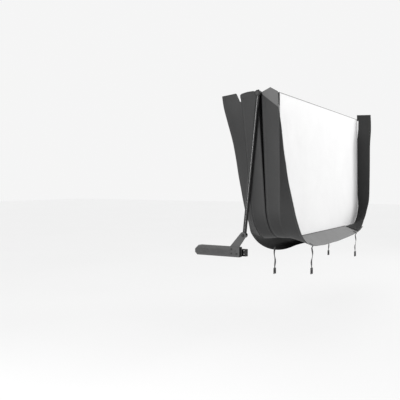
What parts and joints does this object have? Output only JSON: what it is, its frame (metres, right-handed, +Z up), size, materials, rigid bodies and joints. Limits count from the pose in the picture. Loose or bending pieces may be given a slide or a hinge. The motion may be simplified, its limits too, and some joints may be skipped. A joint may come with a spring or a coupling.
{
  "type": "folding spa cover with swing-arm lifter",
  "caption": "Tapered foam spa cover with vinyl jacket, skirts and straps, folded in half over the cross bar of a swing-arm lifter.",
  "frame": {"origin": "middle of the line through the two arm pivots", "axes": "+X away from the tub, +Y along the pivot line and the cross bar, +Z up, with the lifter standing open and the cover hanging folded"},
  "size_m": [0.8856, 2.4099, 1.5157],
  "materials": {
    "foam": "expanded polystyrene foam, matte",
    "galvanised_steel": "galvanised sheet, satin",
    "white_liner": "white laminated liner, matte",
    "grey_vinyl": "dark grey marine vinyl, fine leather grain, satin",
    "zip_plastic": "moulded plastic zip, matte",
    "webbing": "woven polypropylene webbing",
    "black_plastic": "moulded black plastic, matte",
    "black_powder_coat": "black powder coat, satin",
    "grey_powder_coat": "grey textured powder coat, matte",
    "dark_plate": "dark powder coat, matte",
    "bushing_nylon": "black nylon, matte",
    "zinc_steel": "zinc plated, satin",
    "black_fastener": "black oxide, satin"
  },
  "bodies": {
    "brackets": {"far_bracket_rail": "grey_powder_coat", "far_ear_bolts": "black_fastener", "far_inner_washer": "bushing_nylon", "far_mounting_plate": "dark_plate", "far_outer_washer": "bushing_nylon", "far_pivot_bolt": "black_fastener", "far_pivot_ear": "grey_powder_coat", "far_pivot_nut": "black_fastener", "near_bracket_rail": "grey_powder_coat", "near_ear_bolts": "black_fastener", "near_inner_washer": "bushing_nylon", "near_mounting_plate": "dark_plate", "near_outer_washer": "bushing_nylon", "near_pivot_bolt": "black_fastener", "near_pivot_ear": "grey_powder_coat", "near_pivot_nut": "black_fastener"},
    "lifter": {"bar_coupler": "zinc_steel", "far_arm": "black_powder_coat", "far_arm_foot": "black_powder_coat", "far_arm_head": "black_powder_coat", "far_bar": "black_powder_coat", "far_bar_cap": "black_plastic", "far_pivot_bushing": "bushing_nylon", "head_screws": "black_fastener", "near_arm": "black_powder_coat", "near_arm_foot": "black_powder_coat", "near_arm_head": "black_powder_coat", "near_bar": "black_powder_coat", "near_bar_cap": "black_plastic", "near_pivot_bushing": "bushing_nylon"},
    "rear_panel": {"rear_band": "grey_vinyl", "rear_channel": "galvanised_steel", "rear_end_skirt": "grey_vinyl", "rear_far_skirt": "grey_vinyl", "rear_foam_core": "foam", "rear_liner": "white_liner", "rear_near_skirt": "grey_vinyl", "rear_top_skin": "grey_vinyl", "rear_zipper": "zip_plastic", "hinge_strip": "grey_vinyl"},
    "front_panel": {"front_band": "grey_vinyl", "front_channel": "galvanised_steel", "front_end_skirt": "grey_vinyl", "front_far_skirt": "grey_vinyl", "front_foam_core": "foam", "front_liner": "white_liner", "front_near_skirt": "grey_vinyl", "front_top_skin": "grey_vinyl", "front_zipper": "zip_plastic"},
    "front_near_strap_set": {"front_near_strap": "webbing", "front_near_buckle": "black_plastic"},
    "front_far_strap_set": {"front_far_strap": "webbing", "front_far_buckle": "black_plastic"},
    "rear_near_strap_set": {"rear_near_strap": "webbing", "rear_near_buckle": "black_plastic"},
    "rear_far_strap_set": {"rear_far_strap": "webbing", "rear_far_buckle": "black_plastic"}
  },
  "joints": [
    {"name": "lifter_swing", "type": "hinge", "parent": "brackets", "child": "lifter", "pos_m": [0, 0, 0], "axis": [0, 1, 0], "range_deg": [-84, 0]},
    {"name": "rear_panel_hang", "type": "hinge", "parent": "lifter", "child": "rear_panel", "pos_m": [0.118, 0, 1.127], "axis": [0, -1, 0], "range_deg": [0, 15]},
    {"name": "front_panel_fold", "type": "hinge", "parent": "rear_panel", "child": "front_panel", "pos_m": [0.118, 0, 1.127], "axis": [0, 1, 0], "range_deg": [-185.13, 0]},
    {"name": "front_near_strap_swing", "type": "hinge", "parent": "front_panel", "child": "front_near_strap_set", "pos_m": [0.4279, -0.76, -0.1155], "axis": [0, 1, 0], "range_deg": [-91, 25]},
    {"name": "front_far_strap_swing", "type": "hinge", "parent": "front_panel", "child": "front_far_strap_set", "pos_m": [0.4279, 0.56, -0.1155], "axis": [0, 1, 0], "range_deg": [-91, 25]},
    {"name": "rear_near_strap_swing", "type": "hinge", "parent": "rear_panel", "child": "rear_near_strap_set", "pos_m": [0.0913, -0.74, -0.1283], "axis": [0, -1, 0], "range_deg": [-84, 20]},
    {"name": "rear_far_strap_swing", "type": "hinge", "parent": "rear_panel", "child": "rear_far_strap_set", "pos_m": [0.0913, 0.74, -0.1283], "axis": [0, -1, 0], "range_deg": [-84, 20]}
  ]
}
